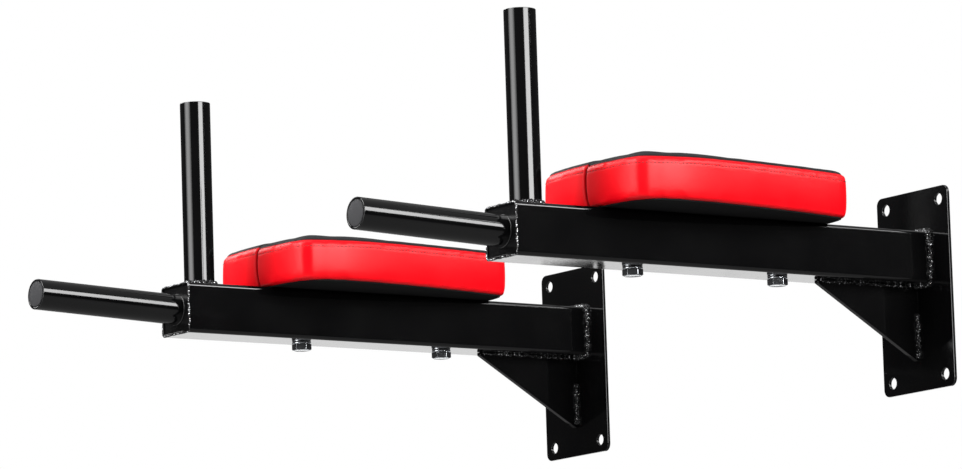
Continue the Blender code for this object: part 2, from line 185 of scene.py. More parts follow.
def ranged(tree, value, low, high, lowest=0.0, highest=1.0, **settings):
    """A value brought from its lowest and highest to a low and a high."""
    feeds = {"Value": value, "From Min": lowest, "From Max": highest}
    feeds |= {"To Min": low, "To Max": high}
    return add_node(tree, "ShaderNodeMapRange", feeds, **settings).outputs["Result"]


def bumped(tree, height, strength, distance, under=None, **settings):
    """The way a surface faces once this height has raised it, over another relief if any."""
    feeds = {"Height": height, "Strength": strength, "Distance": distance}
    if under is not None:
        feeds["Normal"] = under
    return add_node(tree, "ShaderNodeBump", feeds, **settings).outputs["Normal"]


def new_material(name, **values):
    """A material with these values, its nodes, its shader and the place that patterns follow."""
    material = bpy.data.materials.new(name)
    material.use_nodes = True
    tree = material.node_tree
    shader = tree.nodes["Principled BSDF"]
    for socket, value in values.items():
        shader.inputs[socket.replace("_", " ")].default_value = value
    place = add_node(tree, "ShaderNodeTexCoord").outputs["Object"]
    return material, tree, shader, place


def feed(tree, shader, **sources):
    """Links these sources to the shader's sockets."""
    for socket, source in sources.items():
        tree.links.new(source, shader.inputs[socket.replace("_", " ")])


def black_powder_coat(name, smoothest, dullest):
    """Epoxy-polyester powder baked on steel: deep gloss black with a faint orange peel."""
    material, tree, shader, place = new_material(name, IOR=1.5)
    cloud = cloudy(tree, place, scale=22.0, detail=3.0)
    # Orange peel is 2 to 4 mm from crest to crest.
    peel = cloudy(tree, place, scale=330.0, detail=1.0)
    feed(
        tree,
        shader,
        Base_Color=mixed(tree, cloud, linear("#040405"), linear("#090909")),
        Roughness=ranged(tree, cloud, smoothest, dullest, 0.35, 0.65),
        Normal=bumped(tree, peel, strength=0.025, distance=0.6 * MM),
    )
    return material


def painted_weld_bead(name, worn):
    """The same powder over a bead of weld metal: thin on its crests, where bare steel glints.

    The more worn it is, the more of its crests are bare.
    """
    material, tree, shader, place = new_material(name, Specular_IOR_Level=0.22)
    # The bare crests are 1 to 2 mm wide.
    crests = cloudy(tree, place, scale=620.0, detail=1.0)
    edge = 0.66 - 0.2 * worn
    bare = ranged(tree, crests, 0.0, 1.0, edge - 0.03, edge)
    pits = cloudy(tree, place, scale=900.0, detail=1.0)
    feed(
        tree,
        shader,
        Base_Color=mixed(tree, bare, linear("#0b0b0c"), linear("#b2b2b4")),
        Metallic=bare,
        Roughness=ranged(tree, bare, 0.14, 0.22),
        Normal=bumped(tree, pits, strength=0.4, distance=0.8 * MM),
    )
    return material


def upholstery_vinyl(name, deep, light, seam_shade_colour, grain_size, grain, roughness, shine):
    """Calendered PVC on knitted cloth, embossed with a fine leather grain under a satin top coat.

    Pebbles about a millimetre wide break the highlights up. The colour is even, apart from painted
    shade that darkens it where the sheet is tucked into a seam or its join.
    """
    material, tree, shader, place = new_material(name, IOR=1.5, Specular_IOR_Level=shine)
    cloud = cloudy(tree, place, scale=26.0, detail=4.0)
    tone = mixed(tree, cloud, linear(deep), linear(light))
    # Painted shade: how far the cover is darkened where it is tucked into a seam or its join
    seam_shade = add_node(tree, "ShaderNodeAttribute", attribute_name="seam_shade").outputs["Fac"]
    cells = {"Vector": place, "Scale": 1 / grain_size, "Randomness": 0.9}
    pebbles = add_node(tree, "ShaderNodeTexVoronoi", cells, feature="SMOOTH_F1")
    wrinkles = cloudy(tree, place, scale=210.0, detail=3.0)
    soft = bumped(tree, wrinkles, strength=0.12, distance=0.8 * MM)
    feed(
        tree,
        shader,
        Base_Color=mixed(tree, seam_shade, tone, linear(seam_shade_colour)),
        Roughness=ranged(tree, cloud, roughness - 0.04, roughness + 0.05, 0.3, 0.7),
        Normal=bumped(tree, pebbles.outputs["Distance"], grain, 0.5 * MM, soft, invert=True),
    )
    return material


def black_board_lining():
    """Spunbonded lining stapled over the plywood: dull black with a fine pressed dot pattern."""
    material, tree, shader, place = new_material(
        "black_board_lining", Roughness=0.9, Specular_IOR_Level=0.12
    )
    # The pressed dots are 1.5 mm apart.
    cells = {"Vector": place, "Scale": 660.0, "Randomness": 0.15}
    dots = add_node(tree, "ShaderNodeTexVoronoi", cells).outputs["Distance"]
    feed(
        tree,
        shader,
        Base_Color=mixed(tree, dots, linear("#0c0c0c"), linear("#1a1a1b")),
        Normal=bumped(tree, dots, strength=0.3, distance=0.4 * MM),
    )
    return material


def dark_grey_polyethylene():
    """Injection-moulded low-density polyethylene: matt, waxy, with a spark-eroded texture."""
    material, tree, shader, place = new_material(
        "dark_grey_polyethylene",
        Base_Color=linear("#2a2a2c"),
        Roughness=0.6,
        IOR=1.51,
        Specular_IOR_Level=0.22,
    )
    # The texture's pits are 0.1 mm wide and are drawn at 0.5 mm, so that they show.
    pits = cloudy(tree, place, scale=2000.0, detail=2.0)
    feed(tree, shader, Normal=bumped(tree, pits, strength=0.25, distance=0.3 * MM))
    return material


def bright_zinc_plate():
    """Cold-forged steel, barrel-plated with bright zinc: cool silver with a soft blotchiness."""
    material, tree, shader, place = new_material(
        "bright_zinc_plate", Base_Color=linear("#d3d6da"), Metallic=1.0
    )
    cloud = cloudy(tree, place, scale=260.0, detail=4.0)
    feed(
        tree,
        shader,
        Roughness=ranged(tree, cloud, 0.1, 0.2, 0.3, 0.7),
        Normal=bumped(tree, cloud, strength=0.1, distance=0.4 * MM),
    )
    return material


def bonded_nylon_thread():
    """Twisted nylon sewing thread, dark red, with a silky shine along its strands."""
    material, tree, shader, place = new_material(
        "bonded_nylon_thread", Base_Color=linear("#6e0812"), Roughness=0.55, IOR=1.53
    )
    # The strands are 0.25 mm thick.
    strands = {"Vector": place, "Scale": 640.0, "Distortion": 1.0}
    twist = add_node(tree, "ShaderNodeTexWave", strands, bands_direction="DIAGONAL")
    relief = bumped(tree, twist.outputs["Fac"], strength=0.5, distance=0.2 * MM)
    feed(tree, shader, Normal=relief)
    return material


PAINT = black_powder_coat("gloss_black_powder_coat", smoothest=0.06, dullest=0.09)
SPATTERED_PAINT = black_powder_coat("powder_coat_over_spatter", smoothest=0.2, dullest=0.26)
BEAD = painted_weld_bead("painted_weld_bead", worn=0.1)
WORN_BEAD = painted_weld_bead("worn_weld_bead", worn=0.42)
RED = upholstery_vinyl(
    "red_upholstery_vinyl",
    deep="#d6000f",
    light="#de0413",
    # Colour of the painted shade in the seams and the join
    seam_shade_colour="#3c0006",
    grain_size=1.0 * MM,
    grain=0.10,
    roughness=0.35,
    shine=0.18,
)
BLACK = upholstery_vinyl(
    "black_grained_vinyl",
    deep="#1b1b1c",
    light="#28282a",
    # Colour of the painted shade in the seams and the join
    seam_shade_colour="#050505",
    grain_size=1.3 * MM,
    grain=0.35,
    roughness=0.6,
    shine=0.12,
)
LINING = black_board_lining()
PLASTIC = dark_grey_polyethylene()
ZINC = bright_zinc_plate()
THREAD = bonded_nylon_thread()


# Making and placing pieces


def arm_place(side):
    """Where the arm's own frame stands on the wall."""
    middle = Vector((ARM_SIDES[side] * ARM_SPACING / 2, -PLATE_THICKNESS, 0))
    return Matrix.Translation(middle) @ Matrix.Rotation(-math.pi / 2, 4, "Z")


def linked(name, mesh):
    obj = bpy.data.objects.new(name, mesh)
    bpy.context.scene.collection.objects.link(obj)
    return obj


def mesh_of(bm, name):
    mesh = bpy.data.meshes.new(name)
    bm.to_mesh(mesh)
    bm.free()
    return mesh


def finished_mesh(obj):
    """The object's mesh with its modifiers worked in. The object itself is taken away."""
    bpy.context.view_layer.update()
    evaluated = obj.evaluated_get(bpy.context.evaluated_depsgraph_get())
    mesh = bpy.data.meshes.new_from_object(evaluated)
    bpy.data.objects.remove(obj, do_unlink=True)
    return mesh


def put_on_arms(name, make, material, nodes=(), sharp=35, even=False):
    """Puts one of these pieces on each arm, where it stands for the named nodes, if any."""
    pieces = []
    for side in ARM_SIDES:
        bm = make()
        bmesh.ops.transform(bm, matrix=arm_place(side), verts=bm.verts)
        mesh = mesh_of(bm, f"{side}_{name}")
        mesh.shade_smooth()
        mesh.set_sharp_from_angle(angle=math.radians(sharp))
        mesh.materials.clear()
        mesh.materials.append(material)
        piece = linked(f"{side}_{name}", mesh)
        if even:
            shading = piece.modifiers.new("even shading", "WEIGHTED_NORMAL")
            shading.keep_sharp = True
        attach(piece, "root")
        if nodes:
            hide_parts(*[f"{side}_{node}" for node in nodes])
        pieces.append(piece)
    return pieces


def soften(bm, width, segments=3, over=50):
    """Rounds every edge that turns by more than an angle."""
    sharp = [edge for edge in bm.edges if edge.calc_face_angle(0) > math.radians(over)]
    bmesh.ops.bevel(
        bm,
        geom=sharp,
        offset=width,
        segments=segments,
        profile=0.5,
        affect="EDGES",
        material=-1,
        clamp_overlap=True,
    )


def rounded_sheet(bm, length, width, corner, segments=10):
    """A flat rectangle in X and Y with round corners."""
    bmesh.ops.create_grid(bm, x_segments=1, y_segments=1, size=0.5)
    bmesh.ops.scale(bm, verts=bm.verts, vec=(length, width, 1))
    bmesh.ops.bevel(
        bm,
        geom=bm.verts[:],
        offset=corner,
        segments=segments,
        profile=0.5,
        affect="VERTICES",
        material=-1,
    )


def thicken(bm, thickness):
    """Gives a flat sheet its thickness along +Z."""
    grown = bmesh.ops.extrude_face_region(bm, geom=bm.faces[:])["geom"]
    top = [part for part in grown if isinstance(part, bmesh.types.BMVert)]
    bmesh.ops.translate(bm, verts=top, vec=(0, 0, thickness))
    bmesh.ops.recalc_face_normals(bm, faces=bm.faces)


def stand_up(bm, place):
    """Turns a sheet that lies in X and Y to stand across the arm, at a place along it."""
    turn = Matrix.Translation(place) @ Matrix.Rotation(math.pi / 2, 4, "Y")
    bmesh.ops.transform(bm, matrix=turn, verts=bm.verts)


def spun(profile, steps=96, corner=0.0):
    """A solid of revolution about Z from a profile in X and Z, with its sharp edges rounded."""
    bm = bmesh.new()
    corners = [bm.verts.new((x, 0, z)) for x, z in profile]
    for first, second in zip(corners, corners[1:]):
        bm.edges.new((first, second))
    if profile[0][0] > 0:
        bm.edges.new((corners[-1], corners[0]))
    bmesh.ops.spin(
        bm,
        geom=bm.verts[:] + bm.edges[:],
        cent=(0, 0, 0),
        axis=(0, 0, 1),
        angle=2 * math.pi,
        steps=steps,
        use_merge=True,
    )
    bmesh.ops.remove_doubles(bm, verts=bm.verts, dist=MERGE_REACH)
    bmesh.ops.dissolve_degenerate(bm, edges=bm.edges, dist=MERGE_REACH)
    bmesh.ops.recalc_face_normals(bm, faces=bm.faces)
    if corner:
        soften(bm, corner)
    return bm


# Steel


def wall_plate():
    """Laser-cut flat plate with its four screw holes."""
    bm = bmesh.new()
    rounded_sheet(bm, PLATE_HEIGHT, PLATE_WIDTH, PLATE_CORNER)
    bmesh.ops.delete(bm, geom=bm.faces[:], context="FACES_ONLY")
    for up in (-1, 1):
        for across in (-1, 1):
            place = (up * WALL_HOLE_UP / 2, across * WALL_HOLE_ACROSS / 2, 0)
            bmesh.ops.create_circle(
                bm,
                segments=64,
                radius=WALL_HOLE_DIAMETER / 2,
                matrix=Matrix.Translation(place),
            )
    bmesh.ops.triangle_fill(bm, edges=bm.edges[:], use_beauty=True)
    thicken(bm, PLATE_THICKNESS)
    stand_up(bm, (-PLATE_THICKNESS, 0, -PLATE_DROP))
    soften(bm, CUT_EDGE, 2)
    return bm


def arm_tube():
    """Square tube with rolled corners, open at both ends."""
    length = ARM_REACH - SEAM_GAP
    bm = bmesh.new()
    bmesh.ops.create_cube(bm, size=1.0)
    bmesh.ops.scale(bm, verts=bm.verts, vec=(length, TUBE_SIDE, TUBE_SIDE))
    bmesh.ops.translate(bm, verts=bm.verts, vec=(SEAM_GAP + length / 2, 0, 0))
    ends = [face for face in bm.faces if abs(face.normal.x) > 0.9]
    bmesh.ops.delete(bm, geom=ends, context="FACES_ONLY")
    long_edges = [
        edge for edge in bm.edges if abs(edge.verts[0].co.x - edge.verts[1].co.x) > length / 2
    ]
    bmesh.ops.bevel(
        bm,
        geom=long_edges,
        offset=TUBE_CORNER,
        segments=12,
        profile=0.5,
        affect="EDGES",
        material=-1,
    )
    tube = linked("tube skin", mesh_of(bm, "tube skin"))
    wall = tube.modifiers.new("wall", "SOLIDIFY")
    wall.thickness = TUBE_WALL
    wall.offset = -1
    wall.use_even_offset = True
    bm = bmesh.new()
    bm.from_mesh(finished_mesh(tube))
    soften(bm, CUT_EDGE, 2)
    return bm


def end_plate():
    """Square plate let into the tube's free end."""
    width = TUBE_SIDE - 2 * TUBE_WALL - 2 * SEAM_GAP
    bm = bmesh.new()
    rounded_sheet(bm, width, width, TUBE_CORNER - TUBE_WALL, 4)
    thicken(bm, END_PLATE_THICKNESS)
    stand_up(bm, (END_FACE - END_PLATE_THICKNESS, 0, 0))
    return bm


def gusset():
    """Triangular rib on the arm's middle plane, with a blunt nose at each tip."""
    top = -TUBE_TOP - SEAM_GAP
    corners = [
        (SEAM_GAP, top),
        (SEAM_GAP, top - GUSSET_HEIGHT),
        (SEAM_GAP + GUSSET_NOSE, top - GUSSET_HEIGHT),
        (GUSSET_REACH, top - GUSSET_NOSE),
        (GUSSET_REACH, top),
    ]
    bm = bmesh.new()
    bm.faces.new([bm.verts.new((x, z, 0)) for x, z in corners])
    thicken(bm, GUSSET_THICKNESS)
    turn = Matrix.Rotation(math.pi / 2, 4, "X") @ Matrix.Translation((0, 0, -GUSSET_THICKNESS / 2))
    bmesh.ops.transform(bm, matrix=turn, verts=bm.verts)
    soften(bm, CUT_EDGE, 2)
    return bm


def grip_tube(bottom, top):
    """Round tube along Z with its cut edges broken."""
    outer = GRIP_DIAMETER / 2
    inner = outer - GRIP_WALL
    profile = [(outer, top), (outer, bottom), (inner, bottom), (inner, top)]
    return spun(profile, corner=0.6 * MM)


def grip_plug(top):
    """Plug with a slightly domed face inside the rim and ribs that hold it in the tube."""
    radius = GRIP_DIAMETER / 2 - GRIP_WALL - SEAM_GAP
    rib = 0.5 * MM
    profile = [
        (0, top + 0.7 * MM),
        (radius * 0.45, top + 0.6 * MM),
        (radius * 0.8, top + 0.3 * MM),
        (radius - 0.7 * MM, top + 0.05 * MM),
        (radius, top - 0.7 * MM),
        (radius, top - 3 * MM),
        (radius - rib, top - 3.5 * MM),
        (radius - rib, top - 6 * MM),
        (radius, top - 6.5 * MM),
        (radius - rib, top - 7.5 * MM),
        (radius - rib, top - PLUG_DEPTH),
        (0, top - PLUG_DEPTH),
    ]
    return spun(profile)


UPRIGHT_FOOT = Matrix.Translation((UPRIGHT_PLACE, 0, TUBE_TOP))
FORWARD_FOOT = Matrix.Translation((END_FACE, 0, 0)) @ Matrix.Rotation(
    math.pi / 2 - FORWARD_TILT, 4, "Y"
)


def upright_grip():
    bm = grip_tube(SEAM_GAP, UPRIGHT_HEIGHT)
    bmesh.ops.transform(bm, matrix=UPRIGHT_FOOT, verts=bm.verts)
    return bm


def upright_plug():
    bm = grip_plug(UPRIGHT_HEIGHT)
    bmesh.ops.transform(bm, matrix=UPRIGHT_FOOT, verts=bm.verts)
    return bm


def forward_grip():
    """The grip that runs on from the end plate, cut off square to it at its foot."""
    bm = grip_tube(-END_PLATE_THICKNESS, FORWARD_LENGTH)
    bmesh.ops.transform(bm, matrix=FORWARD_FOOT, verts=bm.verts)
    cut = bmesh.ops.bisect_plane(
        bm,
        geom=bm.verts[:] + bm.edges[:] + bm.faces[:],
        plane_co=(END_FACE + SEAM_GAP, 0, 0),
        plane_no=(1, 0, 0),
        clear_inner=True,
    )
    rims = [part for part in cut["geom_cut"] if isinstance(part, bmesh.types.BMEdge)]
    bmesh.ops.bridge_loops(bm, edges=rims)
    bmesh.ops.recalc_face_normals(bm, faces=bm.faces)
    return bm


def forward_plug():
    bm = grip_plug(FORWARD_LENGTH)
    bmesh.ops.transform(bm, matrix=FORWARD_FOOT, verts=bm.verts)
    return bm


# Weld beads


def rounded_square(half, corner, x):
    """Points round a square with round corners, standing across the arm."""
    points = []
    for turn, (side_y, side_z) in enumerate([(1, 1), (-1, 1), (-1, -1), (1, -1)]):
        for step in range(9):
            angle = (turn + step / 8) * math.pi / 2
            y = side_y * (half - corner) + corner * math.cos(angle)
            z = side_z * (half - corner) + corner * math.sin(angle)
            points.append(Vector((x, y, z)))
    return points


def ring(radius, place):
    """Points round a circle in the X and Y of a place."""
    angles = [2 * math.pi * step / 72 for step in range(72)]
    return [place @ Vector((radius * math.cos(a), radius * math.sin(a), 0)) for a in angles]


def evenly(points, step, closed):
    """Points at an even spacing along a path, and each one's distance from the path's start."""
    path = points + points[:1] if closed else points
    spaced = []
    start, wanted = 0.0, 0.0
    for first, second in zip(path, path[1:]):
        length = (second - first).length
        while wanted < start + length:
            spaced.append((first.lerp(second, (wanted - start) / length), wanted))
            wanted += step
        start += length
    return spaced, start


def weld_bead(points, radius, closed=True, seed=0.0, wobble=0.35 * MM, lumps=1.0 * MM):
    """A fillet weld of overlapping scales along a joint, a little uneven as by hand."""
    spaced, length = evenly(points, WELD_STEP, closed)
    curve = bpy.data.curves.new("bead", "CURVE")
    curve.dimensions = "3D"
    curve.bevel_depth = radius
    curve.bevel_resolution = 7
    curve.use_fill_caps = True
    spline = curve.splines.new("POLY")
    spline.points.add(len(spaced) - 1)
    spline.use_cyclic_u = closed
    for knot, (point, travelled) in zip(spline.points, spaced):
        along = Vector((travelled * 160, seed, 0))
        drift = Vector([noise.noise(along + Vector((0, 0, 9 * axis))) for axis in range(3)])
        scale = abs(math.sin(math.pi * (travelled / WELD_SCALE + 0.3 * noise.noise(along * 0.4))))
        lump = 0.84 + 0.26 * scale + 0.3 * noise.noise(point * 190 + Vector((seed, 0, 0)))
        if not closed:
            end = min(travelled, length - travelled) / radius
            lump *= math.sqrt(min(1.0, end + 0.05))
        knot.co = (*(point + drift * wobble), 1.0)
        knot.radius = lump
    bm = bmesh.new()
    bm.from_mesh(finished_mesh(linked("bead", curve)))
    bmesh.ops.remove_doubles(bm, verts=bm.verts, dist=MERGE_REACH)
    bmesh.ops.recalc_face_normals(bm, faces=bm.faces)
    for vert in bm.verts:
        rough = noise.noise(vert.co * 420 + Vector((0, seed, 0)))
        rough += 0.4 * noise.noise(vert.co * 900 + Vector((seed, 0, 0)))
        vert.co += vert.normal * lumps * rough
        vert.co.x = max(vert.co.x, -WELD_DEPTH)
    return bm


def joined(*shapes):
    """One shape of several loose ones."""
    whole = bmesh.new()
    for bm in shapes:
        whole.from_mesh(mesh_of(bm, "part of a weld"))
    return whole


def plate_weld():
    """Bead all round the square tube, on the wall plate."""
    path = rounded_square(TUBE_SIDE / 2, TUBE_CORNER, 0.4 * MM)
    return weld_bead(path, PLATE_BEAD, seed=1.0)


def end_weld():
    """Thin bead over the tube's rim and the seam of the plate let into it."""
    inset = 0.7 * MM
    path = rounded_square(TUBE_SIDE / 2 - inset, TUBE_CORNER - inset, ARM_REACH - 0.7 * MM)
    return weld_bead(path, END_BEAD, seed=2.0, wobble=0.45 * MM, lumps=0.2 * MM)


def upright_weld():
    path = ring(GRIP_DIAMETER / 2, UPRIGHT_FOOT @ Matrix.Translation((0, 0, 0.8 * MM)))
    return weld_bead(path, UPRIGHT_BEAD, seed=3.0, wobble=0.6 * MM)


def forward_weld():
    path = ring(GRIP_DIAMETER / 2, FORWARD_FOOT)
    return weld_bead(path, FORWARD_BEAD, seed=4.0, wobble=0.2 * MM, lumps=0.1 * MM)


def gusset_welds():
    """Beads on both sides of the gusset, under the tube and low down on the wall plate."""
    top = -TUBE_TOP - SEAM_GAP
    half = GUSSET_THICKNESS / 2
    beads = []
    for across in (-half, half):
        under = [Vector((GUSSET_REACH - 3 * MM, across, top)), Vector((5 * MM, across, top))]
        down = [
            Vector((0.5 * MM, across, top - 26 * MM)),
            Vector((0.5 * MM, across, top - GUSSET_HEIGHT + 2 * MM)),
        ]
        seed = 5.0 + across / MM
        beads.append(weld_bead(under, GUSSET_TOP_BEAD, closed=False, seed=seed))
        seed = 8.0 + across / MM
        beads.append(weld_bead(down, GUSSET_SIDE_BEAD, closed=False, seed=seed))
    return joined(*beads)


# Bolts


def hex_bolt(place):
    """Forged hex bolt seen from below: head with a turned chamfer, and its shank."""
    seat = -TUBE_TOP - 2 * SEAM_GAP - WASHER_THICKNESS
    bottom = seat - BOLT_HEAD_HEIGHT
    across_corners = BOLT_HEAD_FLATS / math.cos(math.pi / 6)
    bm = bmesh.new()
    bmesh.ops.create_cone(
        bm,
        cap_ends=True,
        segments=6,
        radius1=across_corners / 2,
        radius2=across_corners / 2,
        depth=BOLT_HEAD_HEIGHT,
    )
    bmesh.ops.translate(bm, verts=bm.verts, vec=(0, 0, bottom + BOLT_HEAD_HEIGHT / 2))
    head = linked("head", mesh_of(bm, "head"))
    # The head's face is a circle a little inside its flats, and falls away at 30 degrees.
    face = BOLT_HEAD_FLATS / 2 * 0.95
    chamfer = math.tan(math.radians(30))
    slope = (across_corners / 2 - face) * chamfer
    dish = bottom + 0.25 * MM
    turning = spun(
        [
            (0, seat),
            (across_corners / 2 + MM, seat),
            (across_corners / 2 + MM, bottom + slope + MM * chamfer),
            (face, bottom),
            (face - 1.2 * MM, dish),
            (0, dish),
        ]
    )
    lathe = linked("lathe", mesh_of(turning, "lathe"))
    cut = head.modifiers.new("chamfer", "BOOLEAN")
    cut.operation = "INTERSECT"
    cut.solver = "EXACT"
    cut.object = lathe
    bm = bmesh.new()
    bm.from_mesh(finished_mesh(head))
    bpy.data.objects.remove(lathe, do_unlink=True)
    bmesh.ops.remove_doubles(bm, verts=bm.verts, dist=0.005 * MM)
    corners = [
        edge
        for edge in bm.edges
        if edge.calc_face_angle(0) > math.radians(50)
        and abs(edge.verts[0].co.z - edge.verts[1].co.z) > MM
    ]
    bmesh.ops.bevel(
        bm,
        geom=corners,
        offset=0.2 * MM,
        segments=3,
        profile=0.5,
        affect="EDGES",
        material=-1,
    )
    shank = spun(
        [
            (0, seat + BOLT_LENGTH),
            (BOLT_DIAMETER / 2 - MM, seat + BOLT_LENGTH),
            (BOLT_DIAMETER / 2, seat + BOLT_LENGTH - MM),
            (BOLT_DIAMETER / 2, bottom + BOLT_HEAD_HEIGHT / 2),
            (0, bottom + BOLT_HEAD_HEIGHT / 2),
        ],
        steps=48,
    )
    bm = joined(bm, shank)
    turn = Matrix.Translation((BOLT_PLACES[place], 0, 0)) @ Matrix.Rotation(
        BOLT_TURNS[place], 4, "Z"
    )
    bmesh.ops.transform(bm, matrix=turn, verts=bm.verts)
    return bm


def flat_washer(place):
    """Punched washer with rounded edges."""
    top = -TUBE_TOP - SEAM_GAP
    bottom = top - WASHER_THICKNESS
    outer, inner = WASHER_DIAMETER / 2, WASHER_BORE / 2
    bm = spun([(outer, top), (outer, bottom), (inner, bottom), (inner, top)], corner=0.3 * MM)
    bmesh.ops.translate(bm, verts=bm.verts, vec=(BOLT_PLACES[place], 0, 0))
    return bm


# Padded rest


def pad_outline(shrink=0.0):
    """Points round the pad's plan, counter-clockwise from the middle of its front."""
    half = [Vector((PAD_FRONT, 0, 0))]
    for stretch in PAD_STRETCHES:
        knots = [Vector((x * MM, y * MM, 0)) for x, y in stretch]
        half += interpolate_bezier(*knots, PAD_STEPS + 1)[1:]
    around = half + [Vector((point.x, -point.y, 0)) for point in reversed(half[1:-1])]
    points = []
    for place, point in enumerate(around):
        along = around[(place + 1) % len(around)] - around[place - 1]
        inward = Vector((-along.y, along.x, 0)).normalized()
        points.append(point + inward * shrink)
    return points


EDGE, EDGE_LENGTH = evenly(pad_outline(), EDGE_STEP, True)
FAR_CORNER_RUN = EDGE_LENGTH - CORNER_RUN
EDGE_FINDER = KDTree(len(EDGE))
for place, (point, _) in enumerate(EDGE):
    EDGE_FINDER.insert(point, place)
EDGE_FINDER.balance()


def at_edge(x, y):
    """Run round the pad's edge next to a place, the way out there and how far inside it is."""
    spot = Vector((x, y, 0))
    _, place, _ = EDGE_FINDER.find(spot)
    point, run = EDGE[place]
    along = EDGE[(place + 1) % len(EDGE)][0] - EDGE[place - 1][0]
    out = Vector((along.y, -along.x, 0)).normalized()
    return run, out, (point - spot).dot(out)


def pad_blank():
    """The foam block before it is covered, a little smaller than the finished pad."""
    bm = bmesh.new()
    base = PAD_BOTTOM + FOAM_LIFT
    bm.faces.new([bm.verts.new((p.x, p.y, base)) for p in pad_outline(FOAM_INSET)])
    thicken(bm, BAND_TOP - base + FOAM_RISE)
    for up, radius in ((-1, FOAM_BOTTOM_RIM), (1, FOAM_TOP_RIM)):
        rim = {edge for face in bm.faces if face.normal.z * up > 0.9 for edge in face.edges}
        bmesh.ops.bevel(
            bm,
            geom=list(rim),
            offset=radius,
            segments=4,
            profile=0.5,
            affect="EDGES",
            material=-1,
        )
    return bm


def crown(bm):
    """Raises the foam's top towards its middle, steeply at first and then ever less."""
    for vert in bm.verts:
        if vert.co.z > BAND_TOP - 3 * MM and vert.normal.z > 0:
            inside = at_edge(vert.co.x, vert.co.y)[2]
            way = max(0.0, min(1.0, inside / CROWN_SPAN))
            vert.co.z += CROWN_RISE * (1 - (1 - way) ** 2.3)


def swell(blank):
    """Covers the foam: cloth under pressure, held at the board, the top seam and the join."""
    pad = linked("pad", mesh_of(blank, "pad"))
    remesh = pad.modifiers.new("remesh", "REMESH")
    remesh.mode = "VOXEL"
    remesh.voxel_size = COVER_GRID
    bm = bmesh.new()
    bm.from_mesh(finished_mesh(pad))
    crown(bm)
    pad = linked("pad cover", mesh_of(bm, "pad cover"))
    start = [vert.co.copy() for vert in pad.data.vertices]
    held = pad.vertex_groups.new(name="held")
    for vert in pad.data.vertices:
        at_board = vert.co.z < PAD_BOTTOM + 3 * MM
        at_seam = abs(vert.co.z - BAND_TOP) < 2.4 * MM and vert.normal.xy.length > 0.3
        at_join = abs(vert.co.y - JOIN_PLACE) < 2.4 * MM and vert.co.x > PAD_FRONT - 12 * MM
        weight = 1.0 if at_board or at_seam else 0.9 if at_join else 0.0
        if weight:
            held.add([vert.index], weight, "REPLACE")
    cloth = pad.modifiers.new("cloth", "CLOTH")
    vinyl = cloth.settings
    vinyl.quality = 6
    vinyl.mass = 0.3
    vinyl.tension_stiffness = 18
    vinyl.compression_stiffness = 18
    vinyl.shear_stiffness = 8
    vinyl.bending_stiffness = 0.6
    vinyl.use_pressure = True
    vinyl.uniform_pressure_force = 4
    vinyl.vertex_group_mass = "held"
    vinyl.effector_weights.gravity = 0
    cloth.collision_settings.use_collision = False
    cloth.point_cache.frame_start = 1
    cloth.point_cache.frame_end = SWELL_FRAMES
    for step in range(1, SWELL_FRAMES + 1):
        bpy.context.scene.frame_set(step)
    swollen = finished_mesh(pad)
    bpy.context.scene.frame_set(1)
    bm = bmesh.new()
    bm.from_mesh(swollen)
    bm.verts.ensure_lookup_table()
    for vert, before in zip(bm.verts, start):
        move = vert.co - before
        if move.length > SWELL_REACH:
            vert.co = before + move.normalized() * SWELL_REACH
    for _ in range(2):
        bmesh.ops.smooth_vert(
            bm, verts=bm.verts, factor=0.5, use_axis_x=True, use_axis_y=True, use_axis_z=True
        )
    cover = linked("pad cover", mesh_of(bm, "pad cover"))
    finer = cover.modifiers.new("finer", "SUBSURF")
    finer.levels = finer.render_levels = 1
    return finished_mesh(cover)


def hill(distance, width):
    """1 at the middle, falling smoothly to nothing over a few widths."""
    return math.exp(-((distance / width) ** 2))


def cut_for_sewing(bm):
    """Gives the cover the edges that its seam, its stitched channel and its join are drawn by."""
    levels = [BAND_TOP + drop * MM for drop in (-5, -3, -1.6, -0.7, 0, 0.7, 1.6, 3, 5)]
    levels += [STITCH_LINE + drop * MM for drop in (-1.8, -0.9, 0, 0.9)]
    cuts = [((0, 0, level), (0, 0, 1)) for level in levels]
    beside = (-3.7, -2.6, -1.6, -1, -0.5, 0, 0.5, 1, 1.8, 3)
    cuts += [((0, JOIN_PLACE + step * MM, 0), (0, 1, 0)) for step in beside]
    for place, normal in cuts:
        bmesh.ops.bisect_plane(
            bm,
            geom=bm.verts[:] + bm.edges[:] + bm.faces[:],
            dist=CUT_REACH,
            plane_co=place,
            plane_no=normal,
        )


